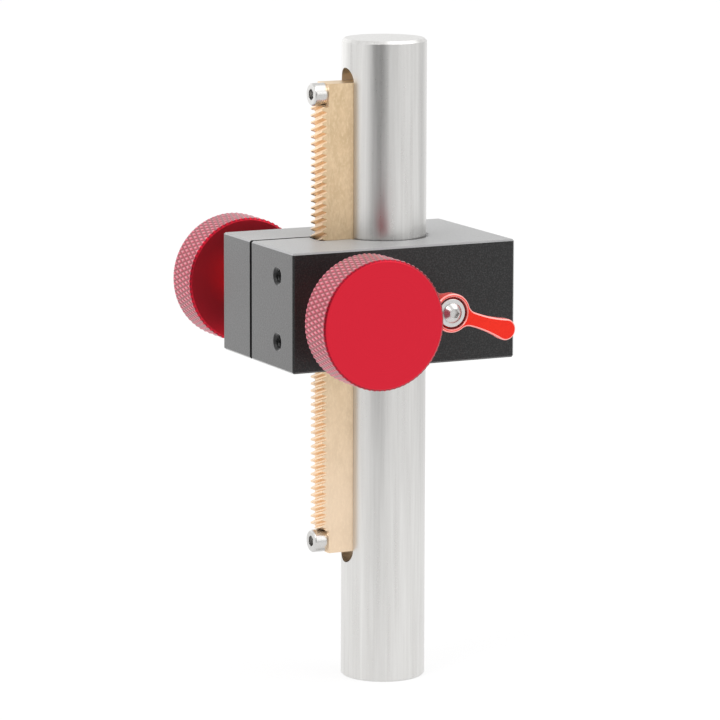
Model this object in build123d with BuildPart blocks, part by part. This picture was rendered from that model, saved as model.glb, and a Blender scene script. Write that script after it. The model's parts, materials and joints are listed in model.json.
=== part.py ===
from build123d import *
import math
import os

os.makedirs("parts", exist_ok=True)

# A carriage that climbs a round post by rack and pinion. Sizes are in millimetres.
# The origin is the centre of the post's foot and +Z runs up the post. The rack is on the -X
# side, and the front of the block, with the locking lever, faces -Y.

# Post
post_r = 12.5
post_height = 190.5
post_foot_chamfer = 0.5
post_top_chamfer = 0.8
foot_thread_r = 2.5
foot_thread_depth = 12.0

# Rack, let into a slot of the post: depth is measured from the slot's floor to the tooth tips
slot_floor = 8.0
slot_side_gap = 0.05
rack_width = 8.0
rack_depth = 13.9
rack_bottom = 39.0
rack_length = 139.15
rack_seat_drop = 2.2
rack_seat_length = 6.8
rack_screw_inset = 3.3

# Teeth of the rack and the pinion: the pitch is square to the tooth
tooth_pitch = 2.0
tooth_phase = 1.84
helix_angle = math.radians(17.0)
pressure_angle = math.radians(20.0)
root_clearance = 0.13
backlash = 0.14
pinion_teeth = 13
pinion_shift = 0.24
pinion_width = 12.0
mesh_clearance = 0.05

# Socket head screws of the 4 mm size, and small set screws
screw_r = 2.0
screw_head_r = 3.35
screw_head_height = 4.0
screw_hex = 3.0
screw_hex_depth = 2.2
screw_edge = 0.4
rack_screw_length = 16.0
thread_clearance = 0.05
shank_clearance = 0.25
thread_run_out = 1.2

# Carriage block
block_bottom = 97.35
block_height = 35.0
block_width = 49.0
block_length = 71.5
block_right = 30.7
block_edge = 0.5
post_bore_clearance = 0.05
post_bore_chamfer = 1.0
channel_tip_gap = 0.7
channel_side_gap = 0.4
channel_corner = 1.4
slit_width = 1.5
slit_offset = 4.1
side_hole_r = 2.1
side_hole_depth = 12.0
side_hole_spacing = 19.2
side_hole_offset = 13.6
side_hole_chamfer = 0.7

# Pinch screws through the slit
pinch_screw_length = 25.0
pinch_screw_inset = 5.8
pinch_screw_spacing = 24.0
pinch_head_sink = 4.5
pinch_head_gap = 0.4

# Cross shaft, bushes, washers and knobs
shaft_r = 4.0
shaft_clearance = 0.03
pinion_passage = 1.38
pinion_end_gap = 0.5
washer_r = 7.5
washer_thickness = 0.95
washer_gap = 0.05
boss_r = 7.5
boss_length = 14.9
knob_width = 13.0
knob_lever_gap = 1.15
knob_edge = 0.8
knob_fit = 0.02
knob_floor = 3.2
shaft_end_gap = 0.2
set_screw_r = 1.5
set_screw_hex = 1.5
set_screw_hex_depth = 1.6
set_screw_inset = 7.4
shaft_flat_depth = 0.4
shaft_flat_length = 5.0

# Lock: heights are measured outwards from the front face of the block
lock_height = 18.1
lock_thread_r = 2.5
pad_gap = 0.15
pad_r = 2.4
pad_thickness = 2.5
pad_stem_r = 1.0
pad_stem_length = 2.8
pad_play = 0.05
collar_r = 4.0
collar_start = 0.4
collar_thickness = 2.1
spline_r = 3.2
spline_depth = 0.35
spline_count = 16
spline_height = 1.8
spline_clearance = 0.08
stud_neck_r = 2.4
stud_end = 19.8
cap_screw_r = 1.5
cap_screw_length = 8.0
cap_head_r = 2.85
cap_head_height = 1.65
cap_hex = 2.5
cap_hex_depth = 1.0
lock_washer_r = 4.2
lock_washer_thickness = 0.6

# Lever
lever_face = 20.8
lever_start = 2.7
lever_hub_r = 5.65
lever_neck_r = 4.4
lever_taper_length = 9.5
hub_ledge = 0.1
lever_recess_r = 4.7
recess_edge = 0.3
lever_lift = 2.0
lever_spline_length = 3.0
lever_web = 1.5
lever_bore_clearance = 0.1
arm_rest_angle = -19.0
arm_thickness = 3.0
arm_neck_reach = 9.0
arm_neck_half = 2.05
arm_end_reach = 18.25
arm_end_r = 3.1
arm_fillet = 3.0
arm_edge = 0.4
spring_r = 3.1
spring_wire_r = 0.25
spring_turns = 5
spring_gap = 0.1
spring_bore_gap = 0.3

# Derived sizes of the teeth. The rack is drawn in the vertical plane, so its pitch there grows
# with the helix angle.
module_n = tooth_pitch / math.pi
pitch_z = tooth_pitch / math.cos(helix_angle)
tooth_slope = math.tan(pressure_angle) / math.cos(helix_angle)
dedendum = module_n + root_clearance
pinion_pitch_r = pinion_teeth * pitch_z / (2 * math.pi)
pinion_tip_r = pinion_pitch_r + (1 + pinion_shift) * module_n
pinion_root_r = pinion_pitch_r + pinion_shift * module_n - dedendum

# Derived places: distances from the post's axis and heights above the foot
rack_tip = slot_floor + rack_depth
rack_line = rack_tip - module_n
rack_root = rack_line - dedendum
rack_seat = rack_tip - rack_seat_drop
rack_top = rack_bottom + rack_length
rack_screw_heights = (rack_bottom + rack_screw_inset, rack_top - rack_screw_inset)
slot_r = rack_width / 2 + slot_side_gap
block_middle = block_bottom + block_height / 2
block_left = block_length - block_right
block_half = block_width / 2
post_bore_r = post_r + post_bore_clearance
channel_wall = rack_tip + channel_tip_gap
channel_half = rack_width / 2 + channel_side_gap
pinion_x = -(rack_line + pinion_pitch_r + pinion_shift * module_n + mesh_clearance)
bush_r = pinion_tip_r + pinion_passage
bush_start = pinion_width / 2 + pinion_end_gap
boss_start = block_half + washer_gap + washer_thickness
knob_start = boss_start + boss_length
knob_end = knob_start + knob_width
knob_r = -pinion_x - lever_hub_r - knob_lever_gap
shaft_end = knob_end - knob_floor - shaft_end_gap
set_screw_y = boss_start + set_screw_inset
lock_z = block_bottom + lock_height
washer_top = stud_end + lock_washer_thickness

# Planes: the cross shaft's section is seen along +Y, with its own y pointing down. Lock pieces
# are drawn on the block's front face, or as half sections with height pointing outwards.
shaft_plane = Plane(origin=(pinion_x, 0, block_middle), x_dir=(1, 0, 0), z_dir=(0, 1, 0))
shaft_axis = Axis((pinion_x, 0, block_middle), (0, 1, 0))
lock_face = Plane(origin=(0, -block_half, lock_z), x_dir=(1, 0, 0), z_dir=(0, -1, 0))
lock_section = Plane(origin=(0, -block_half, lock_z), x_dir=(1, 0, 0), z_dir=(0, 0, -1))
lock_axis = Axis((0, -block_half, lock_z), (0, -1, 0))


def half_section(plane, points):
    """Closed outline of straight lines, to be revolved about an axis in its own plane."""
    with BuildSketch(plane) as profile:
        with BuildLine():
            Polyline(*points, close=True)
        make_face()
    return profile.sketch


def socket_screw(length):
    """Socket head screw along Z, with the underside of its head at the origin."""
    with BuildPart() as screw:
        Cylinder(screw_head_r, screw_head_height, align=(Align.CENTER, Align.CENTER, Align.MIN))
        chamfer(screw.edges().group_by(Axis.Z)[-1], screw_edge)
        with BuildSketch(Plane.XY.offset(screw_head_height)):
            RegularPolygon(screw_hex / 2, 6, major_radius=False)
        extrude(amount=-screw_hex_depth, mode=Mode.SUBTRACT)
        with BuildSketch():
            Circle(screw_r)
        extrude(amount=-length)
        chamfer(screw.edges().group_by(Axis.Z)[0], screw_edge)
    return screw.part


def set_screw(length):
    """Headless screw along Z, with its socket end at the origin."""
    with BuildPart() as screw:
        Cylinder(set_screw_r - thread_clearance, length, align=(Align.CENTER, Align.CENTER, Align.MAX))
        with BuildSketch():
            RegularPolygon(set_screw_hex / 2, 6, major_radius=False)
        extrude(amount=-set_screw_hex_depth, mode=Mode.SUBTRACT)
    return screw.part


def spline(radius):
    """Star outline of the serrations that join the lever to its stud."""
    half_turn = math.pi / spline_count
    reach = [(radius - spline_depth * (i % 2), i * half_turn) for i in range(2 * spline_count)]
    with BuildSketch() as star:
        Polygon(*[(r * math.cos(turn), r * math.sin(turn)) for r, turn in reach])
    return star.sketch


# The post, with the rack's slot, the rack screws' threads and the thread in its foot
with BuildPart() as post:
    with BuildSketch():
        Circle(post_r)
    extrude(amount=post_height)
    chamfer(post.edges().group_by(Axis.Z)[-1], post_top_chamfer)
    chamfer(post.edges().group_by(Axis.Z)[0], post_foot_chamfer)
    with BuildSketch(Plane.YZ.offset(-slot_floor)):
        with Locations((0, rack_bottom + rack_length / 2)):
            SlotOverall(rack_length + 2 * slot_r, 2 * slot_r, rotation=90)
    extrude(amount=slot_floor - post_r - post_top_chamfer, mode=Mode.SUBTRACT)
    with BuildSketch(Plane.YZ.offset(-slot_floor)):
        with Locations(*[(0, height) for height in rack_screw_heights]):
            Circle(screw_r + thread_clearance)
    extrude(amount=rack_screw_length + thread_run_out - rack_seat + slot_floor, mode=Mode.SUBTRACT)
    with BuildSketch():
        Circle(foot_thread_r)
    extrude(amount=foot_thread_depth, mode=Mode.SUBTRACT)
post.part.label = "post"
export_step(post.part, "parts/post.step")

# The rack: a bar with a milled seat at each end and slanting tooth spaces between them
with BuildPart() as rack:
    with BuildSketch(Plane.XY.offset(rack_bottom)):
        with Locations((-(slot_floor + rack_depth / 2), 0)):
            Rectangle(rack_depth, rack_width)
    extrude(amount=rack_length)
    with BuildSketch(Plane.XZ.offset(-rack_width / 2)):
        with Locations((-rack_tip, rack_bottom), (-rack_tip, rack_top)):
            Rectangle(2 * rack_seat_drop, 2 * rack_seat_length)
    extrude(amount=rack_width, mode=Mode.SUBTRACT)
    space_start = rack_width / 2 + tooth_pitch
    space_half = pitch_z / 4 + backlash / 4
    space_floor = space_half - dedendum * tooth_slope
    space_mouth = space_half + 2 * module_n * tooth_slope
    first_space = rack_bottom + tooth_phase + space_start * math.tan(helix_angle)
    with BuildSketch(Plane.XZ.offset(space_start)):
        with Locations(*[
            (-rack_line, first_space + i * pitch_z) for i in range(int(rack_length / pitch_z) + 1)
        ]):
            Polygon(
                (-2 * module_n, -space_mouth),
                (-2 * module_n, space_mouth),
                (dedendum, space_floor),
                (dedendum, -space_floor),
            )
    extrude(
        amount=2 * space_start / math.cos(helix_angle),
        dir=(0, math.cos(helix_angle), -math.sin(helix_angle)),
        mode=Mode.SUBTRACT,
    )
    with BuildSketch(Plane.YZ.offset(-rack_tip)):
        with Locations(*[(0, height) for height in rack_screw_heights]):
            Circle(screw_r + shank_clearance)
    extrude(amount=rack_depth, mode=Mode.SUBTRACT)
rack.part.label = "rack"
export_step(rack.part, "parts/rack.step")

# The two screws that hold the rack, their heads turned outwards to -X
rack_screws = [
    Plane(origin=(-rack_seat, 0, height), x_dir=(0, 0, 1), z_dir=(-1, 0, 0))
    for height in rack_screw_heights
]
with BuildPart() as rack_screw_lower:
    with Locations(rack_screws[0]):
        add(socket_screw(rack_screw_length))
rack_screw_lower.part.label = "rack_screw_lower"
export_step(rack_screw_lower.part, "parts/rack_screw_lower.step")

with BuildPart() as rack_screw_upper:
    with Locations(rack_screws[1]):
        add(socket_screw(rack_screw_length))
rack_screw_upper.part.label = "rack_screw_upper"
export_step(rack_screw_upper.part, "parts/rack_screw_upper.step")

# The carriage block: post bore, rack channel, saw slit, shaft bore and its threaded holes
pinch_x = -(block_left - pinch_screw_inset)
pinch_seat = block_half - pinch_head_sink
pinch_holes = [(pinch_x, block_middle + side * pinch_screw_spacing / 2) for side in (-1, 1)]
with BuildPart() as carriage_block:
    with BuildSketch(Plane.XY.offset(block_bottom)):
        with Locations((block_right - block_length / 2, 0)):
            Rectangle(block_length, block_width)
    extrude(amount=block_height)
    chamfer(carriage_block.edges(), block_edge)
    with BuildSketch(Plane.XY.offset(block_bottom)):
        Circle(post_bore_r)
    extrude(amount=block_height, mode=Mode.SUBTRACT)
    bore_mouths = carriage_block.edges().filter_by(GeomType.CIRCLE)
    chamfer(bore_mouths, post_bore_chamfer)
    with BuildSketch(Plane.XY.offset(block_bottom)) as channel:
        with Locations((-channel_wall / 2, 0)):
            Rectangle(channel_wall, 2 * channel_half)
        fillet(channel.vertices().group_by(Axis.X)[0], channel_corner)
    extrude(amount=block_height, mode=Mode.SUBTRACT)
    with BuildSketch(Plane.XY.offset(block_bottom)):
        with Locations((-(block_left + channel_wall - channel_corner) / 2, slit_offset + slit_width / 2)):
            Rectangle(block_left - channel_wall + channel_corner, slit_width)
    extrude(amount=block_height, mode=Mode.SUBTRACT)
    with BuildSketch(shaft_plane.offset(-block_half)):
        Circle(bush_r)
    extrude(amount=block_width, mode=Mode.SUBTRACT)
    with BuildSketch(Plane.YZ.offset(-block_left)):
        with Locations((-side_hole_offset, block_middle)):
            with GridLocations(0, side_hole_spacing, 1, 2):
                Circle(side_hole_r)
    extrude(amount=side_hole_depth, mode=Mode.SUBTRACT)
    side_hole_mouths = carriage_block.edges().filter_by(GeomType.CIRCLE).group_by(Axis.X)[0]
    chamfer(side_hole_mouths, side_hole_chamfer)
    with BuildSketch(Plane.XZ.offset(-block_half)):
        with Locations(*pinch_holes):
            Circle(screw_head_r + pinch_head_gap)
    extrude(amount=pinch_head_sink, mode=Mode.SUBTRACT)
    with BuildSketch(Plane.XZ.offset(-pinch_seat)):
        with Locations(*pinch_holes):
            Circle(screw_r + shank_clearance)
    extrude(amount=pinch_seat - slit_offset, mode=Mode.SUBTRACT)
    with BuildSketch(Plane.XZ.offset(-slit_offset)):
        with Locations(*pinch_holes):
            Circle(screw_r + thread_clearance)
    extrude(amount=pinch_screw_length + thread_run_out - pinch_seat + slit_offset, mode=Mode.SUBTRACT)
    with BuildSketch(lock_face):
        Circle(lock_thread_r + thread_clearance)
    extrude(amount=-block_half, mode=Mode.SUBTRACT)
carriage_block.part.label = "carriage_block"
export_step(carriage_block.part, "parts/carriage_block.step")

# The pinch screws, entering from the rear
pinch_screws = [
    Plane(origin=(x, pinch_seat, z), x_dir=(1, 0, 0), z_dir=(0, 1, 0)) for x, z in pinch_holes
]
with BuildPart() as pinch_screw_lower:
    with Locations(pinch_screws[0]):
        add(socket_screw(pinch_screw_length))
pinch_screw_lower.part.label = "pinch_screw_lower"
export_step(pinch_screw_lower.part, "parts/pinch_screw_lower.step")

with BuildPart() as pinch_screw_upper:
    with Locations(pinch_screws[1]):
        add(socket_screw(pinch_screw_length))
pinch_screw_upper.part.label = "pinch_screw_upper"
export_step(pinch_screw_upper.part, "parts/pinch_screw_upper.step")

# The bushes fill the shaft's bore from each face of the block to just short of the pinion
with BuildPart() as front_bush:
    with BuildSketch(shaft_plane.offset(-block_half)):
        Circle(bush_r)
        Circle(shaft_r + shaft_clearance, mode=Mode.SUBTRACT)
    extrude(amount=block_half - bush_start)
front_bush.part.label = "front_bush"
export_step(front_bush.part, "parts/front_bush.step")

with BuildPart() as rear_bush:
    mirror(front_bush.part, about=Plane.XZ)
rear_bush.part.label = "rear_bush"
export_step(rear_bush.part, "parts/rear_bush.step")

# One tooth of the pinion, pointing along +X: an involute leaves the base circle at each side
base_r = pinion_pitch_r * math.cos(math.atan(tooth_slope))
pressure_z = math.atan(tooth_slope)
tooth_width = pitch_z / 2 + 2 * pinion_shift * module_n * tooth_slope - backlash / 2
base_half_turn = tooth_width / (2 * pinion_pitch_r) + math.tan(pressure_z) - pressure_z


def flank_point(radius, side):
    """Point of a tooth's flank at a radius, on either side of the tooth's middle."""
    roll = math.acos(min(base_r / radius, 1))
    turn = side * (base_half_turn - math.tan(roll) + roll)
    return (radius * math.cos(turn), radius * math.sin(turn))


middle_r = (base_r + pinion_tip_r) / 2
heel_r = pinion_root_r / 2
with BuildSketch() as tooth:
    with BuildLine():
        heel = [(heel_r * math.cos(s * base_half_turn), heel_r * math.sin(s * base_half_turn)) for s in (-1, 1)]
        Line(heel[0], flank_point(base_r, -1))
        ThreePointArc(*[flank_point(r, -1) for r in (base_r, middle_r, pinion_tip_r)])
        ThreePointArc(flank_point(pinion_tip_r, -1), (pinion_tip_r, 0), flank_point(pinion_tip_r, 1))
        ThreePointArc(*[flank_point(r, 1) for r in (pinion_tip_r, middle_r, base_r)])
        Line(flank_point(base_r, 1), heel[1])
        Line(heel[1], heel[0])
    make_face()

# The pinion is cut on the middle of the cross shaft. Its section turns with the rack's slant, and
# at the middle a tooth stands in the space of the rack nearest to the shaft's height.
twist = pinion_width * math.tan(helix_angle) / pinion_pitch_r
space_above = (rack_bottom + tooth_phase - block_middle) % pitch_z
section_turn = math.degrees(-space_above / pinion_pitch_r - twist / 2)
with BuildSketch(shaft_plane.offset(-pinion_width / 2)) as pinion_section:
    Circle(pinion_root_r)
    with PolarLocations(0, pinion_teeth, start_angle=section_turn):
        add(tooth.sketch)
pinion_solid = Solid.extrude_linear_with_rotation(
    pinion_section.sketch.faces()[0],
    center=(pinion_x, -pinion_width / 2, block_middle),
    normal=(0, pinion_width, 0),
    angle=math.degrees(twist),
)
with BuildPart() as pinion_shaft:
    add(pinion_solid)
    for side in (-1, 1):
        with BuildSketch(shaft_plane.offset(side * pinion_width / 2)):
            Circle(shaft_r)
        extrude(amount=side * (shaft_end - pinion_width / 2))
    chamfer(pinion_shaft.edges().group_by(Axis.Y)[0], shaft_flat_depth)
    chamfer(pinion_shaft.edges().group_by(Axis.Y)[-1], shaft_flat_depth)
    flat_z = block_middle + shaft_r
    with Locations((pinion_x, -set_screw_y, flat_z), (pinion_x, set_screw_y, flat_z)):
        Box(2 * shaft_r, shaft_flat_length, 2 * shaft_flat_depth, mode=Mode.SUBTRACT)
pinion_shaft.part.label = "pinion_shaft"
export_step(pinion_shaft.part, "parts/pinion_shaft.step")

# Thrust washers between the block and the bosses of the knobs
with BuildPart() as front_washer:
    with BuildSketch(shaft_plane.offset(-boss_start)):
        Circle(washer_r)
        Circle(shaft_r + shaft_clearance, mode=Mode.SUBTRACT)
    extrude(amount=washer_thickness)
front_washer.part.label = "front_washer"
export_step(front_washer.part, "parts/front_washer.step")

with BuildPart() as rear_washer:
    mirror(front_washer.part, about=Plane.XZ)
rear_washer.part.label = "rear_washer"
export_step(rear_washer.part, "parts/rear_washer.step")

# The knobs: a disc with a narrower boss that holds the shaft's end and a set screw
knob_plane = Plane.XY.offset(block_middle)
with BuildPart() as front_knob:
    revolve(
        half_section(knob_plane, [
            (pinion_x, -knob_end),
            (pinion_x + knob_r - knob_edge, -knob_end),
            (pinion_x + knob_r, -knob_end + knob_edge),
            (pinion_x + knob_r, -knob_start - knob_edge),
            (pinion_x + knob_r - knob_edge, -knob_start),
            (pinion_x + boss_r, -knob_start),
            (pinion_x + boss_r, -boss_start),
            (pinion_x + shaft_r + knob_fit, -boss_start),
            (pinion_x + shaft_r + knob_fit, -knob_end + knob_floor),
            (pinion_x, -knob_end + knob_floor),
        ]),
        axis=shaft_axis,
    )
    with BuildSketch(Plane.XY.offset(block_middle)):
        with Locations((pinion_x, -set_screw_y)):
            Circle(set_screw_r)
    extrude(amount=boss_r, mode=Mode.SUBTRACT)
front_knob.part.label = "front_knob"
export_step(front_knob.part, "parts/front_knob.step")

with BuildPart() as rear_knob:
    mirror(front_knob.part, about=Plane.XZ)
rear_knob.part.label = "rear_knob"
export_step(rear_knob.part, "parts/rear_knob.step")

# Set screws, flush with the bosses and resting on the flats of the shaft
set_screw_length = boss_r - shaft_r + shaft_flat_depth - screw_edge
with BuildPart() as front_set_screw:
    with Locations((pinion_x, -set_screw_y, block_middle + boss_r - screw_edge)):
        add(set_screw(set_screw_length))
front_set_screw.part.label = "front_set_screw"
export_step(front_set_screw.part, "parts/front_set_screw.step")

with BuildPart() as rear_set_screw:
    mirror(front_set_screw.part, about=Plane.XZ)
rear_set_screw.part.label = "rear_set_screw"
export_step(rear_set_screw.part, "parts/rear_set_screw.step")

# The lock's pad lies just off the post and is centred in the tip of the stud by its stem
pad_front = post_r + pad_gap - block_half
pad_back = pad_front + pad_thickness
stud_tip = pad_back + pad_play
with BuildPart() as lock_pad:
    revolve(
        half_section(lock_section, [
            (0, pad_front),
            (pad_r, pad_front),
            (pad_r, pad_back),
            (pad_stem_r, pad_back),
            (pad_stem_r, pad_back + pad_stem_length),
            (0, pad_back + pad_stem_length),
        ]),
        axis=lock_axis,
    )
lock_pad.part.label = "lock_pad"
export_step(lock_pad.part, "parts/lock_pad.step")

# The stud: thread, collar and serrations at the block, then a plain neck to the washer
collar_top = collar_start + collar_thickness
stud_hole_end = stud_end - cap_screw_length + lock_washer_thickness - thread_run_out
with BuildPart() as lock_stud:
    revolve(
        half_section(lock_section, [
            (0, stud_tip),
            (lock_thread_r, stud_tip),
            (lock_thread_r, collar_start),
            (collar_r, collar_start),
            (collar_r, collar_top),
            (stud_neck_r, collar_top),
            (stud_neck_r, stud_end),
            (0, stud_end),
        ]),
        axis=lock_axis,
    )
    with BuildSketch(lock_face.offset(collar_top)):
        add(spline(spline_r))
    extrude(amount=spline_height)
    with BuildSketch(lock_face.offset(stud_tip)):
        Circle(pad_stem_r + pad_play)
    extrude(amount=pad_stem_length + pad_play, mode=Mode.SUBTRACT)
    with BuildSketch(lock_face.offset(stud_end)):
        Circle(cap_screw_r + thread_clearance)
    extrude(amount=stud_hole_end - stud_end, mode=Mode.SUBTRACT)
lock_stud.part.label = "lock_stud"
export_step(lock_stud.part, "parts/lock_stud.step")

# The washer on the stud's end, and the button head screw that holds it
with BuildPart() as lock_washer:
    with BuildSketch(lock_face.offset(stud_end)):
        Circle(lock_washer_r)
        Circle(cap_screw_r + thread_clearance, mode=Mode.SUBTRACT)
    extrude(amount=lock_washer_thickness)
    chamfer(lock_washer.edges().group_by(Axis.Y)[0].sort_by(SortBy.RADIUS)[-1], lock_washer_thickness / 3)
lock_washer.part.label = "lock_washer"
export_step(lock_washer.part, "parts/lock_washer.step")

with BuildPart() as lock_cap_screw:
    with BuildSketch(lock_section) as dome:
        with BuildLine():
            crown = ThreePointArc(
                (cap_head_r, washer_top + cap_head_height / 4),
                (cap_head_r * 0.7, washer_top + cap_head_height * 0.78),
                (cap_hex / 1.6, washer_top + cap_head_height),
            )
            Polyline(
                crown @ 1,
                (0, washer_top + cap_head_height),
                (0, washer_top - cap_screw_length),
                (cap_screw_r, washer_top - cap_screw_length),
                (cap_screw_r, washer_top),
                (cap_head_r, washer_top),
                crown @ 0,
            )
        make_face()
    revolve(axis=lock_axis)
    with BuildSketch(lock_face.offset(washer_top + cap_head_height)):
        RegularPolygon(cap_hex / 2, 6, major_radius=False)
    extrude(amount=-cap_hex_depth, mode=Mode.SUBTRACT)
lock_cap_screw.part.label = "lock_cap_screw"
export_step(lock_cap_screw.part, "parts/lock_cap_screw.step")

# The lever: a tapered hub with an arm, bored in steps for the stud, the spring and the washer
web_start = lever_start + lever_spline_length
web_end = web_start + lever_web
recess_floor = stud_end - lever_lift - spring_gap
taper_start = lever_face - lever_taper_length
arm_turn = math.radians(arm_rest_angle)
arm_plane = Plane(
    origin=(0, -block_half - lever_face, lock_z),
    x_dir=(math.cos(arm_turn), 0, math.sin(arm_turn)),
    z_dir=(0, -1, 0),
)
# Each side of the arm is one hollow arc that leaves the hub and runs into the round end
arm_reach = arm_end_reach - arm_neck_reach
hollow_r = (arm_reach ** 2 + arm_neck_half ** 2 - arm_end_r ** 2) / (2 * (arm_end_r - arm_neck_half))
hollow_y = arm_neck_half + hollow_r
root_y = hollow_y - math.sqrt(hollow_r ** 2 - arm_neck_reach ** 2)
end_share = arm_end_r / (arm_end_r + hollow_r)
meet_x = arm_end_reach - arm_reach * end_share
meet_y = hollow_y * end_share
with BuildPart() as lock_lever:
    with BuildSketch(arm_plane) as arm:
        with BuildLine():
            ThreePointArc((0, root_y), (arm_neck_reach, arm_neck_half), (meet_x, meet_y))
            ThreePointArc((meet_x, meet_y), (arm_end_reach + arm_end_r, 0), (meet_x, -meet_y))
            ThreePointArc((meet_x, -meet_y), (arm_neck_reach, -arm_neck_half), (0, -root_y))
            Line((0, -root_y), (0, root_y))
        make_face()
        Circle(lever_hub_r)
        hub_corners = arm.vertices().filter_by_position(Axis.X, lever_hub_r / 2, lever_hub_r)
        fillet(hub_corners, arm_fillet)
    extrude(amount=-arm_thickness)
    chamfer(lock_lever.faces().sort_by(Axis.Y)[0].edges(), arm_edge)
    revolve(
        half_section(lock_section, [
            (0, lever_start),
            (lever_neck_r, lever_start),
            (lever_neck_r, taper_start),
            (lever_hub_r - hub_ledge, lever_face - arm_thickness),
            (0, lever_face - arm_thickness),
        ]),
        axis=lock_axis,
    )
    revolve(
        half_section(lock_section, [
            (0, web_start),
            (stud_neck_r + lever_bore_clearance, web_start),
            (stud_neck_r + lever_bore_clearance, web_end),
            (spring_r + spring_wire_r + spring_bore_gap, web_end),
            (spring_r + spring_wire_r + spring_bore_gap, recess_floor),
            (lever_recess_r, recess_floor),
            (lever_recess_r, lever_face - recess_edge),
            (lever_recess_r + recess_edge, lever_face),
            (0, lever_face),
        ]),
        axis=lock_axis,
        mode=Mode.SUBTRACT,
    )
    with BuildSketch(lock_face.offset(lever_start)):
        add(spline(spline_r + spline_clearance))
    extrude(amount=lever_spline_length, mode=Mode.SUBTRACT)
lock_lever.part.label = "lock_lever"
export_step(lock_lever.part, "parts/lock_lever.step")

# The spring stands round the stud's neck, between the lever's web and the washer
coil_start = web_end + spring_gap + spring_wire_r
coil_height = stud_end - spring_gap - spring_wire_r - coil_start
with BuildPart() as lock_spring:
    with BuildLine() as coil:
        Helix(
            pitch=coil_height / spring_turns,
            height=coil_height,
            radius=spring_r,
            center=(0, -block_half - coil_start, lock_z),
            direction=(0, -1, 0),
        )
    with BuildSketch(Plane(origin=coil.line @ 0, z_dir=coil.line % 0)):
        Circle(spring_wire_r)
    sweep(is_frenet=True)
lock_spring.part.label = "lock_spring"
export_step(lock_spring.part, "parts/lock_spring.step")
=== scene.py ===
import json
import math

import bmesh
import bpy
from mathutils import Matrix, Vector


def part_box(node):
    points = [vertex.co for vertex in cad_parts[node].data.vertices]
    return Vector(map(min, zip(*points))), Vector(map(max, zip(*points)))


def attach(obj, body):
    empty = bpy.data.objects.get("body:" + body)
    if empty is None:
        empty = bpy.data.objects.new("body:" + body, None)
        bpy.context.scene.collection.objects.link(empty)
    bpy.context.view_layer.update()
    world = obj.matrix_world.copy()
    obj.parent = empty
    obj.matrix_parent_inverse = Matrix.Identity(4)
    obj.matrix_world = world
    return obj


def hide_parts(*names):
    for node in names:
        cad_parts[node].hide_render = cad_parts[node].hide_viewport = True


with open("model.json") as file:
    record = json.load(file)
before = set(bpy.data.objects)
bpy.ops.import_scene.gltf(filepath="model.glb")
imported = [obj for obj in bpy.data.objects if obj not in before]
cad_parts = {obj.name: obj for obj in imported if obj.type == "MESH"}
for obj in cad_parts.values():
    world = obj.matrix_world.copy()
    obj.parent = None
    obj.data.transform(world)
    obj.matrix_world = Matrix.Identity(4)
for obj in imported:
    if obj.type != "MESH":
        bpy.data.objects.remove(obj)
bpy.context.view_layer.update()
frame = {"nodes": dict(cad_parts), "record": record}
nodes = frame["nodes"]
MM = 0.001


class Value:
    """A number that changes over a surface, with Python's arithmetic on its socket."""

    def __init__(self, finish, socket):
        self.finish = finish
        self.socket = socket

    def math(self, operation, other):
        return self.finish.math(operation, self, other)

    def __add__(self, other):
        return self.math("ADD", other)

    def __sub__(self, other):
        return self.math("SUBTRACT", other)

    def __mul__(self, other):
        return self.math("MULTIPLY", other)

    def __truediv__(self, other):
        return self.math("DIVIDE", other)

    def __rsub__(self, other):
        return self.finish.math("SUBTRACT", other, self)

    __radd__ = __add__

    def pick(self, name):
        """Another output of the same node."""
        return Value(self.finish, self.socket.node.outputs[name])

    def clamp(self, low=0.0, high=1.0):
        return self.math("MAXIMUM", low).math("MINIMUM", high)

    def power(self, exponent):
        return self.math("POWER", exponent)


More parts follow.
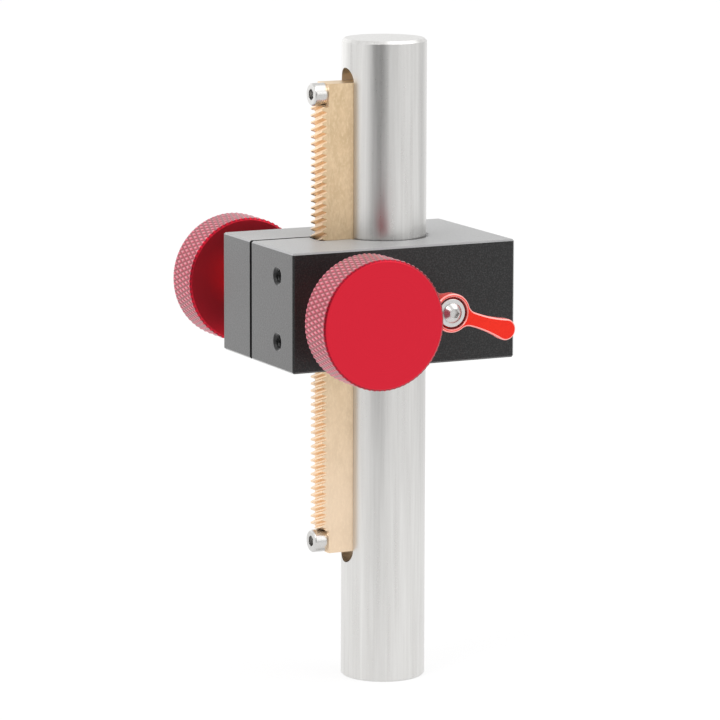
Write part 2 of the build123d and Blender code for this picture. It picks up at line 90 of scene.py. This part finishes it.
class Finish:
    """The node tree of a material or of the world, written as expressions."""

    def __init__(self, holder):
        holder.use_nodes = True
        self.holder = holder
        self.tree = holder.node_tree
        self.tree.nodes.clear()

    def node(self, kind, inputs, **settings):
        """A new node, given back by its first output."""
        made = self.tree.nodes.new(kind)
        for key, setting in settings.items():
            setattr(made, key, setting)
        for key, given in inputs.items():
            self.feed(made.inputs[key], given)
        return Value(self, made.outputs[0]) if len(made.outputs) else None

    def feed(self, socket, given):
        if isinstance(given, Value):
            self.tree.links.new(given.socket, socket)
        else:
            socket.default_value = given

    def math(self, operation, first, second):
        return self.node("ShaderNodeMath", {0: first, 1: second}, operation=operation)

    def place(self, stretch=(1, 1, 1)):
        """Position on the piece in millimetres, stretched for grain that runs one way."""
        where = self.node("ShaderNodeTexCoord", {}).pick("Object")
        scale = tuple(1000 * s for s in stretch)
        return self.node("ShaderNodeMapping", {"Vector": where, "Scale": scale})

    def noise(self, size, detail=3.0, stretch=(1, 1, 1)):
        """Noise about 0.5, its lumps a given number of millimetres across."""
        return self.node("ShaderNodeTexNoise", {
            "Vector": self.place(stretch), "Scale": 1.0 / size, "Detail": detail, "Roughness": 0.55,
        })

    def marked(self, name):
        """A value that the mesh itself carries: its painted highlight and rubbing, or its knurl's
        depth.
        """
        return self.node("ShaderNodeAttribute", {}, attribute_name=name).pick("Fac")

    def blend(self, share, first, second):
        """Mix two colours by a share. The node has its colour sockets at 6 and 7."""
        made = self.tree.nodes.new("ShaderNodeMix")
        made.data_type = "RGBA"
        for index, given in ((0, share), (6, first), (7, second)):
            self.feed(made.inputs[index], (*given, 1.0) if isinstance(given, tuple) else given)
        return Value(self, made.outputs[2])

    def grey(self, level):
        return self.node("ShaderNodeCombineXYZ", {0: level, 1: level, 2: level})

    def bump(self, height, depth, strength):
        """Relief with a depth in millimetres."""
        return self.node(
            "ShaderNodeBump", {"Height": height, "Distance": depth * MM, "Strength": strength}
        )

    def surface(self, **sockets):
        """Close the material with one glossy shader."""
        inputs = {key.replace("_", " "): given for key, given in sockets.items()}
        shader = self.node("ShaderNodeBsdfPrincipled", inputs)
        self.node("ShaderNodeOutputMaterial", {"Surface": shader})
        return self.holder


def new_finish(name):
    return Finish(bpy.data.materials.new(name))


# Finishes of the record's slots


def ground_steel():
    """The post: satin ground bar with faint streaks along its length, and a painted warm reflection
    in its slot.
    """
    m = new_finish("ground_steel")
    streak = m.noise(1.2, 5, (1, 1, 0.03))
    grain = m.noise(0.28, 2, (1, 1, 0.35))
    line = ((streak - 0.5) * 1.7 + 0.5).clamp()
    highlight_and_rubbing = m.marked("highlight_and_rubbing")
    colour = m.blend(line, (0.64, 0.63, 0.615), (0.79, 0.785, 0.77))
    # Painted reflection: the slot walls paler and warmer, for the brass and light they reflect;
    # their roughness is their own milled finish.
    colour = m.blend(highlight_and_rubbing, colour, (0.86, 0.78, 0.68))
    return m.surface(
        Base_Color=colour, Metallic=1.0,
        Roughness=0.2 + streak * 0.1 + grain * 0.1 + highlight_and_rubbing * 0.25,
        Normal=m.bump(grain * 0.6 + streak * 0.4, 0.012, 0.5),
    )


def milled_brass():
    """The rack: milled brass, mottled, and paler from its middle down."""
    m = new_finish("milled_brass")
    pale_from, pale_run = 105, 50
    cloud = m.noise(4.0, 5, (1, 1, 0.5))
    speck = m.noise(0.6, 4, (1, 1, 0.5))
    height = m.node("ShaderNodeSeparateXYZ", {0: m.place()}).pick("Z")
    colour = m.blend(cloud, (0.56, 0.40, 0.22), (0.92, 0.70, 0.46))
    colour = m.blend(((speck - 0.45) * 3).clamp() * 0.5, colour, (0.98, 0.80, 0.56))
    colour = m.blend(((pale_from - height) / pale_run).clamp() * 0.5, colour, (0.96, 0.78, 0.62))
    # Painted highlight: the teeth's flanks and tips paler, for the light they catch.
    colour = m.blend(m.marked("highlight_and_rubbing") * 0.8, colour, (0.96, 0.74, 0.52))
    return m.surface(
        Base_Color=colour, Metallic=0.9, Roughness=0.3 + speck * 0.22,
        Normal=m.bump(speck, 0.02, 0.6),
    )


def bright_metal(name, tone, rough):
    """Turned metal of screws, washers, bushes, shaft and spring."""
    m = new_finish(name)
    grain = m.noise(0.3, 3)
    colour = m.blend(grain, tuple(0.88 * t for t in tone), tone)
    return m.surface(
        Base_Color=colour, Metallic=1.0, Roughness=rough + grain * 0.12,
        Normal=m.bump(grain, 0.006, 0.5),
    )


def black_anodised():
    """The block: fine matte black over blasted metal."""
    m = new_finish("black_anodised")
    grain = m.noise(0.5, 4)
    fleck = m.noise(0.4, 2)
    colour = m.blend(grain, (0.0, 0.0, 0.0), (0.012, 0.0122, 0.0128))
    # Painted highlight: the top chamfers pale grey, for the light they catch.
    colour = m.blend(m.marked("highlight_and_rubbing"), colour, (0.34, 0.34, 0.345))
    return m.surface(
        Base_Color=colour, Metallic=0.0, Roughness=0.28 + grain * 0.12, IOR=1.36,
        Coat_Weight=((fleck - 0.5) * 2.5 + 0.12).clamp(), Coat_Roughness=0.4,
        Sheen_Weight=0.9, Sheen_Roughness=0.4,
        Normal=m.bump(grain, 0.05, 0.8),
    )


def red_anodised():
    """The knobs: red dye in anodised metal, with fine turning marks on their faces."""
    m = new_finish("red_anodised")
    marks_per_mm = 4.0
    low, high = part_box("front_knob")
    axis = (500 * (low[0] + high[0]), 0.0, 500 * (low[2] + high[2]))
    centre = m.node("ShaderNodeVectorMath", {0: m.place(), 1: axis}, operation="SUBTRACT")
    flat = m.node("ShaderNodeVectorMath", {0: centre, 1: (1.0, 0.0, 1.0)}, operation="MULTIPLY")
    reach = m.node("ShaderNodeVectorMath", {0: flat}, operation="LENGTH").pick("Value")
    turned = m.node(
        "ShaderNodeTexNoise", {"W": reach * marks_per_mm, "Scale": 1.0, "Detail": 2.0},
        noise_dimensions="1D",
    )
    grain = m.noise(0.2, 3)
    colour = m.blend(grain * 0.6 + turned * 0.4, (0.60, 0.005, 0.022), (0.76, 0.012, 0.038))
    # Knurl tips pale pink: partly rubbing, partly a painted highlight.
    colour = m.blend(m.marked("highlight_and_rubbing") * 0.6, colour, (0.95, 0.38, 0.52))
    # Painted shade: the knurl's grooves darkened by their depth.
    colour = m.blend(m.marked("groove") * 0.9, colour, (0.12, 0.0, 0.012))
    return m.surface(
        Base_Color=colour, Metallic=0.85, Roughness=0.3 + grain * 0.12,
        Sheen_Weight=0.4, Sheen_Roughness=0.45,
        Normal=m.bump(grain * 0.5 + turned * 0.5, 0.008, 0.5),
    )


def red_enamel():
    """The lever: sprayed enamel over a casting, with a painted highlight on its rims."""
    m = new_finish("red_enamel")
    peel = m.noise(0.9, 2)
    cloud = m.noise(6.0, 2)
    colour = m.blend(cloud, (0.78, 0.016, 0.006), (0.88, 0.030, 0.012))
    # Painted highlight: the sloping rims pale pink.
    colour = m.blend(m.marked("highlight_and_rubbing"), colour, (0.98, 0.36, 0.33))
    return m.surface(
        Base_Color=colour, Metallic=0.5, Roughness=0.3 + peel * 0.1, IOR=1.35,
        Sheen_Weight=0.3, Sheen_Roughness=0.4,
        Normal=m.bump(peel, 0.02, 0.3),
    )


finishes = {
    "post_steel": ground_steel(),
    "rack_brass": milled_brass(),
    "screw_steel": bright_metal("screw_steel", (0.68, 0.67, 0.655), 0.22),
    "black_anodised": black_anodised(),
    "bush_bronze": bright_metal("bush_bronze", (0.66, 0.46, 0.24), 0.3),
    "shaft_steel": bright_metal("shaft_steel", (0.68, 0.68, 0.67), 0.2),
    "washer_steel": bright_metal("washer_steel", (0.72, 0.72, 0.71), 0.24),
    "red_anodised": red_anodised(),
    "dark_steel": bright_metal("dark_steel", (0.10, 0.10, 0.105), 0.32),
    "spring_steel": bright_metal("spring_steel", (0.50, 0.50, 0.49), 0.25),
    "red_enamel": red_enamel(),
}
slot_of = {part["node"]: part["material_slot"] for part in frame["record"]["subparts"]}
body_of = {
    node: body
    for body, members in frame["record"]["behaviour"]["bodies"].items()
    for node in members
}
for name, node in nodes.items():
    node.data.materials.clear()
    node.data.materials.append(finishes[slot_of[name]])


# Pieces that are new or that stand in for a node


def add_piece(name, mesh, node):
    """Put a new piece in the scene, on a node's body and in its finish."""
    piece = bpy.data.objects.new(name, mesh)
    bpy.context.scene.collection.objects.link(piece)
    mesh.materials.clear()
    mesh.materials.append(finishes[slot_of[node]])
    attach(piece, body_of[node])
    return piece


def modified(mesh, kind, **settings):
    """A copy of a mesh as one modifier leaves it."""
    draft = bpy.data.objects.new("draft", mesh)
    bpy.context.scene.collection.objects.link(draft)
    modifier = draft.modifiers.new("draft", kind)
    for key, setting in settings.items():
        setattr(modifier, key, setting)
    seen = draft.evaluated_get(bpy.context.evaluated_depsgraph_get())
    done = bpy.data.meshes.new_from_object(seen)
    bpy.data.objects.remove(draft)
    return done


def shade(mesh, sharp):
    """Smooth shading that stops at edges sharper than an angle in degrees."""
    for polygon in mesh.polygons:
        polygon.use_smooth = True
    mesh.set_sharp_from_angle(angle=math.radians(sharp))


def mark_edges(mesh, share):
    """Note for the finishes how far each face is painted paler, as a painted highlight."""
    layer = mesh.attributes.new("highlight_and_rubbing", "FLOAT", "CORNER")
    for polygon in mesh.polygons:
        level = share(polygon)
        for corner in polygon.loop_indices:
            layer.data[corner].value = level


def soften(node, width, sharp=30.0, segments=2, pale=None):
    """Stand in for a node with a copy whose sharp edges are broken, by a width in millimetres."""
    same_point = 0.002 * MM
    flat = math.radians(0.5)
    mesh = nodes[node].data.copy()
    if "custom_normal" in mesh.attributes:
        mesh.attributes.remove(mesh.attributes["custom_normal"])
    work = bmesh.new()
    work.from_mesh(mesh)
    bmesh.ops.remove_doubles(work, verts=work.verts, dist=same_point)
    bmesh.ops.dissolve_limit(
        work, angle_limit=flat, verts=work.verts, edges=work.edges, delimit={"NORMAL"},
    )
    edges = [
        e for e in work.edges
        if len(e.link_faces) == 2 and e.calc_face_angle(0) > math.radians(sharp)
    ]
    bmesh.ops.bevel(
        work, geom=edges, offset=width * MM, segments=segments, profile=0.5, affect="EDGES",
        clamp_overlap=True,
    )
    work.to_mesh(mesh)
    work.free()
    shade(mesh, 38)
    if pale:
        mark_edges(mesh, pale)
    eased = modified(mesh, "WEIGHTED_NORMAL", mode="FACE_AREA", weight=100, keep_sharp=True)
    eased.name = node
    piece = add_piece(node + "_eased", eased, node)
    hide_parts(node)


# The knobs: turned discs on a boss, with a diamond knurl cut into their rims


def drilled(mesh, middle, radius, length):
    """A copy of a mesh with an upright hole cut in it."""
    drill_mesh = bpy.data.meshes.new("drill")
    work = bmesh.new()
    bmesh.ops.create_cone(
        work, cap_ends=True, segments=48, radius1=radius, radius2=radius, depth=length,
        matrix=Matrix.Translation(middle),
    )
    work.to_mesh(drill_mesh)
    work.free()
    drill = bpy.data.objects.new("drill", drill_mesh)
    bpy.context.scene.collection.objects.link(drill)
    done = modified(mesh, "BOOLEAN", operation="DIFFERENCE", solver="EXACT", object=drill)
    bpy.data.objects.remove(drill)
    return done


def knurled_knob(node):
    """Stand in for a knob with one that has its knurl, its bore and its set screw's hole."""
    low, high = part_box(node)
    middle_x = (low[0] + high[0]) / 2
    middle_z = (low[2] + high[2]) / 2
    side = 1 if low[1] > 0 else -1
    boss_end, face = sorted((abs(low[1]), abs(high[1])))
    radius = (high[0] - low[0]) / 2
    width = 13.0 * MM
    inner = face - width
    bevel, bevel_depth = 0.8 * MM, 0.5 * MM
    boss, boss_bevel = 7.5 * MM, 0.3 * MM
    bore, bore_end = 4.02 * MM, face - 3.2 * MM
    hole, hole_place = 1.5 * MM, boss_end + 7.4 * MM
    drill_length, drill_middle = 8 * MM, 5 * MM
    grooves, lead, depth = 75, 4.55 * MM, 0.28 * MM
    groove_half = 0.46  # of the grooves' pitch
    pale_tips_from = 0.9 * bevel_depth
    around, rows = 10 * grooves, 66

    def cut(turn, along):
        """Depth of the knurl at a place on the rim, as a share, from two sets of grooves."""
        deepest = 0.0
        for way in (-1, 1):
            phase = (turn * grooves / (2 * math.pi) + way * along / lead) % 1.0
            deepest = max(deepest, 1 - abs(phase - 0.5) / groove_half)
        return deepest

    # Rings from the face to the bore's floor. Those with no radius of their own are the rim's
    rings = [(face, reach) for reach in (3 * MM, 9 * MM, 15 * MM, radius - bevel)]
    rings += [(face - width * row / rows, None) for row in range(1, rows)]
    rings += [(inner, reach) for reach in (radius - bevel, 12 * MM, boss + boss_bevel)]
    rings += [(inner - boss_bevel, boss), (boss_end + boss_bevel, boss)]
    rings += [(boss_end, boss - boss_bevel), (boss_end, 4.3 * MM)]
    rings += [(boss_end + boss_bevel, bore), (bore_end, bore)]
    points = [(middle_x, side * face, middle_z)]
    sunk, tip_rubbing_and_highlight = [0.0], [0.0]
    for along, reach in rings:
        for i in range(around):
            turn = 2 * math.pi * i / around
            r, sink, rubbing_and_highlight = reach, 0.0, 0.0
            if reach is None:
                sink = cut(turn, along)
                to_edge = min(face - along, along - inner)
                r = min(radius - depth * sink, radius - bevel + to_edge * bevel / bevel_depth)
                rubbing_and_highlight = 1 - sink if to_edge > pale_tips_from else 0.0
            points.append(
                (middle_x + r * math.cos(turn), side * along, middle_z + r * math.sin(turn))
            )
            sunk.append(sink)
            tip_rubbing_and_highlight.append(rubbing_and_highlight)
    points.append((middle_x, side * bore_end, middle_z))
    sunk.append(0.0)
    tip_rubbing_and_highlight.append(0.0)

    faces = [(0, 1 + i, 1 + (i + 1) % around) for i in range(around)]
    for ring in range(len(rings) - 1):
        start = 1 + ring * around
        for i in range(around):
            j = (i + 1) % around
            faces.append((start + i, start + around + i, start + around + j, start + j))
    start = 1 + (len(rings) - 1) * around
    faces += [(start + i, len(points) - 1, start + (i + 1) % around) for i in range(around)]
    if side > 0:
        faces = [tuple(reversed(f)) for f in faces]

    mesh = bpy.data.meshes.new(node + "_knurled")
    mesh.from_pydata(points, [], faces)
    # The knurl's depth, which the finish turns into painted shade in the grooves.
    mesh.attributes.new("groove", "FLOAT", "POINT").data.foreach_set("value", sunk)
    # The knurl's tips carry rubbing and a painted highlight.
    mesh.attributes.new("highlight_and_rubbing", "FLOAT", "POINT").data.foreach_set("value", tip_rubbing_and_highlight)
    drill_place = (middle_x, side * hole_place, middle_z + drill_middle)
    mesh = drilled(mesh, drill_place, hole, drill_length)
    shade(mesh, 32)
    piece = add_piece(node + "_knurled", mesh, node)
    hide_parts(node)


knurled_knob("front_knob")
knurled_knob("rear_knob")


# The two tapped holes in the block's side


def tapped_hole(name, place):
    """The thread that shows in a hole along X: one closed ridge winding inwards."""
    root, crest, pitch, turns, around = 2.12 * MM, 1.95 * MM, 0.8 * MM, 12, 40
    start = 0.75 * MM
    profile = ((-0.42, root), (-0.08, crest), (0.08, crest), (0.42, root))
    corners = len(profile)
    points = []
    for i in range(turns * around + 1):
        turn = 2 * math.pi * i / around
        inward = start + pitch * i / around
        for share, reach in profile:
            points.append((
                place[0] + inward + share * pitch,
                place[1] + reach * math.cos(turn),
                place[2] + reach * math.sin(turn),
            ))
    faces = []
    for start_corner in range(0, len(points) - corners, corners):
        for j in range(corners):
            a, b = start_corner + j, start_corner + (j + 1) % corners
            faces.append((a, b, b + corners, a + corners))
    faces += [(3, 2, 1, 0), tuple(range(len(points) - corners, len(points)))]
    mesh = bpy.data.meshes.new(name)
    mesh.from_pydata(points, [], faces)
    shade(mesh, 30)
    add_piece(name, mesh, "carriage_block")


block_low, block_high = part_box("carriage_block")
hole_y = -13.6 * MM
hole_offset = 9.6 * MM
block_middle = (block_low[2] + block_high[2]) / 2
tapped_hole("side_thread_upper", (block_low[0], hole_y, block_middle + hole_offset))
tapped_hole("side_thread_lower", (block_low[0], hole_y, block_middle - hole_offset))


# The other pieces that the photograph shows, with their sharp edges broken


def post_reach(polygon):
    return math.hypot(polygon.center.x, polygon.center.y)


def lever_rim(polygon):
    """The sloping rims of the lever's front, which get a painted highlight."""
    return 1.0 if 0.25 < -polygon.normal.y < 0.9 else 0.0


def block_rim(polygon):
    """The broken edges round the top of the block, which get a painted highlight."""
    rim_depth, clear_of_bore = 0.6 * MM, 20 * MM
    at_rim = block_high[2] - polygon.center.z < rim_depth
    sloping = 0.3 < polygon.normal.z < 0.95
    return 0.8 if at_rim and sloping and post_reach(polygon) > clear_of_bore else 0.0


teeth_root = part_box("rack")[0][0] + 2.2 * MM


def rack_teeth(polygon):
    """The flanks and tips of the rack's teeth, which get a painted highlight."""
    return 1.0 if polygon.center.x < teeth_root and abs(polygon.normal.y) < 0.8 else 0.0


def slot_wall(polygon):
    """The milled faces of the rack's slot in the post, painted paler and warmer as a painted
    reflection.
    """
    inside_round = 12.3 * MM
    in_slot = polygon.center.x < 0 and post_reach(polygon) < inside_round
    return 1.0 if in_slot and abs(polygon.normal.z) < 0.5 else 0.0


soften("lock_lever", 0.10, pale=lever_rim)
soften("carriage_block", 0.10, pale=block_rim)
soften("rack", 0.05, pale=rack_teeth)
soften("post", 0.08, pale=slot_wall)
for name in ("rack_screw_upper", "rack_screw_lower", "lock_washer"):
    soften(name, 0.08)
soften("lock_cap_screw", 0.03, sharp=50.0, segments=1)


# Floor, light and camera

# What stands round the object: its bearing, half its width and its soft border in degrees
SOFTBOX = (125, 20, 45)
PHOTOGRAPHER = (-129.5, 12, 14)
RIGHT_SIDE = (8, 6, 14)
OVERHEAD = (-21.5, 25, 30)
SKYLINE = (-95, 55, 25)
# Patches of painted light and painted shade in the floor's glow
BRIGHT_FLOOR = (100, 15, 25)
DARK_FLOOR = (145, 12, 14)


def strip(x, y, bearing, half_width, soft):
    """1 towards one bearing, seen from the object, fading out at both sides."""
    turn = math.radians(bearing)
    facing = (x * math.cos(turn) + y * math.sin(turn)) / (x * x + y * y).power(0.5)
    near = math.cos(math.radians(half_width))
    far = math.cos(math.radians(half_width + soft))
    return ((facing - far) / (near - far)).clamp()


def studio_world():
    """Light of the studio by bearing and height. The camera sees plain white."""
    world = bpy.data.worlds.new("studio")
    bpy.context.scene.world = world
    w = Finish(world)
    way = w.node("ShaderNodeTexCoord", {}).pick("Generated")
    parts = w.node("ShaderNodeSeparateXYZ", {0: way})
    x, y, z = parts.pick("X"), parts.pick("Y"), parts.pick("Z")
    low = (1 - z * z * 2).clamp()
    softbox = strip(x, y, *SOFTBOX) * low
    photographer = strip(x, y, *PHOTOGRAPHER) * low
    right_side = strip(x, y, *RIGHT_SIDE)
    overhead = strip(x, y, *OVERHEAD) * ((z - 0.5) / 0.2).clamp()
    skyline = strip(x, y, *SKYLINE) * ((0.12 - z) / 0.08).clamp()
    level = 0.92 + softbox * 0.6 + overhead * 1.4 - photographer * 0.75 - right_side * 0.35
    level = level * (1 - skyline * 0.5)
    seen_by_camera = w.node("ShaderNodeLightPath", {}).pick("Is Camera Ray")
    colour = w.blend(seen_by_camera, w.grey(level), (1.0, 1.0, 1.0))
    back = w.node("ShaderNodeBackground", {"Color": colour, "Strength": 1.0})
    w.node("ShaderNodeOutputWorld", {"Surface": back})


def pale_floor():
    """White ground, mostly glowing, so that only a faint shadow falls on it. In reflections its
    glow carries painted light and painted shade.
    """
    half = 6.0
    mesh = bpy.data.meshes.new("floor")
    corners = [(-half, -half, 0), (half, -half, 0), (half, half, 0), (-half, half, 0)]
    mesh.from_pydata(corners, [], [(0, 1, 2, 3)])
    floor = bpy.data.objects.new("floor", mesh)
    bpy.context.scene.collection.objects.link(floor)

    m = new_finish("pale_floor")
    where = m.node("ShaderNodeTexCoord", {}).pick("Object")
    parts = m.node("ShaderNodeSeparateXYZ", {0: where})
    x, y = parts.pick("X"), parts.pick("Y")
    reach = (x * x + y * y).power(0.5)

    def beyond(start, run):
        """0 nearer to the object than a distance in metres, rising to 1 over a run."""
        return ((reach - start) / run).clamp()

    middle = beyond(0.35, 0.4)
    # Painted shade in the floor's glow, seen in reflections: darker towards the photographer, the
    # right side and the far skyline.
    dark = (strip(x, y, *PHOTOGRAPHER) * 0.85 + strip(x, y, *RIGHT_SIDE) * 0.3) * middle
    dark = (dark + strip(x, y, *SKYLINE) * beyond(1.5, 0.6) * 0.5).clamp(0.0, 0.95)
    # A ring of painted shade, for the shade that the block and knobs cast near the object, seen in
    # the post.
    ring = beyond(0.2, 0.2) - beyond(0.72, 0.15)
    level = 1 - dark - ring * 0.16
    # A patch of painted light and a patch of painted shade in the floor's glow.
    level = level + strip(x, y, *BRIGHT_FLOOR) * middle * 0.3
    level = level - strip(x, y, *DARK_FLOOR) * middle * 0.3

    path = m.node("ShaderNodeLightPath", {})
    seen_by_camera = path.pick("Is Camera Ray")
    glow_colour = m.blend(seen_by_camera, m.grey(level), (1.0, 1.0, 1.0))
    matt = m.node("ShaderNodeBsdfDiffuse", {"Color": (0.93, 0.93, 0.93, 1.0)})
    glow = m.node("ShaderNodeEmission", {"Color": glow_colour, "Strength": 1.0})
    clear_rays = seen_by_camera + path.pick("Is Glossy Ray") + path.pick("Is Transmission Ray")
    glow_share = clear_rays.clamp() * 0.8
    mixed = m.node("ShaderNodeMixShader", {0: glow_share, 1: matt, 2: glow})
    m.node("ShaderNodeOutputMaterial", {"Surface": mixed})
    mesh.materials.append(m.holder)


def lamp(name, place, aim, size, watts):
    """A square lamp, its size in metres."""
    data = bpy.data.lights.new(name, "AREA")
    data.shape = "RECTANGLE"
    data.size = data.size_y = size
    data.energy = watts
    light = bpy.data.objects.new(name, data)
    light.location = place
    light.rotation_euler = (Vector(aim) - Vector(place)).to_track_quat("-Z", "Y").to_euler()
    bpy.context.scene.collection.objects.link(light)


def place_camera():
    """The camera as fitted to the photograph's edges."""
    azimuth, elevation, roll = (math.radians(d) for d in (-25.770, 9.731, 0.123))
    target = Vector((-7.668, 0.0, 95.436)) * MM
    distance = 1323.79 * MM
    back = Vector((
        math.sin(azimuth) * math.cos(elevation),
        -math.cos(azimuth) * math.cos(elevation),
        math.sin(elevation),
    ))
    data = bpy.data.cameras.new("camera")
    data.sensor_width = 36.0
    data.lens = 224.26
    data.clip_end = 50.0
    camera = bpy.data.objects.new("camera", data)
    camera.location = target + back * distance
    camera.rotation_euler = back.to_track_quat("Z", "Y").to_euler()
    camera.rotation_euler.rotate_axis("Z", roll)
    bpy.context.scene.collection.objects.link(camera)
    bpy.context.scene.camera = camera


studio_world()
pale_floor()
block_centre = (0, 0, 0.11)
lamp("key", (-0.9, -0.5, 1.1), block_centre, 0.6, 6)
lamp("fill", (0.9, -1.2, 0.6), block_centre, 0.8, 2)
place_camera()
bpy.context.scene.view_settings.view_transform = "Standard"
